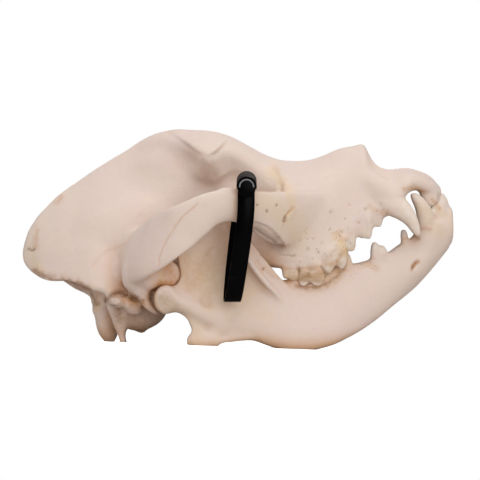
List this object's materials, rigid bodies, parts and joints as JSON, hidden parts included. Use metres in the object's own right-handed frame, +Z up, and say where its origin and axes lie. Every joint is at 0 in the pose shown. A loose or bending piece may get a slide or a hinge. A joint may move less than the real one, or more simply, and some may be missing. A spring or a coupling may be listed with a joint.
{
  "type": "dog skull",
  "caption": "Life-size skull of a large dog with its lower jaw closed, resting on a table, with a blank black tag band looped over the right cheekbone.",
  "frame": {"origin": "on the table, under the middle of the skull's bounding box", "axes": "+X to the nose, +Y to the animal's left, +Z up"},
  "size_m": [0.2317, 0.1456, 0.1163],
  "materials": {
    "bone": "matt, dry bleached bone with ivory teeth",
    "band": "glossy black",
    "clasp": "glossy black"
  },
  "bodies": {
    "root": {"braincase": "bone", "upper_jaw": "bone", "cheek_arch_right": "bone", "cheek_arch_left": "bone", "lower_jaw_right": "bone", "lower_jaw_left": "bone", "tag_band": "band", "tag_clasp": "clasp"}
  },
  "joints": []
}
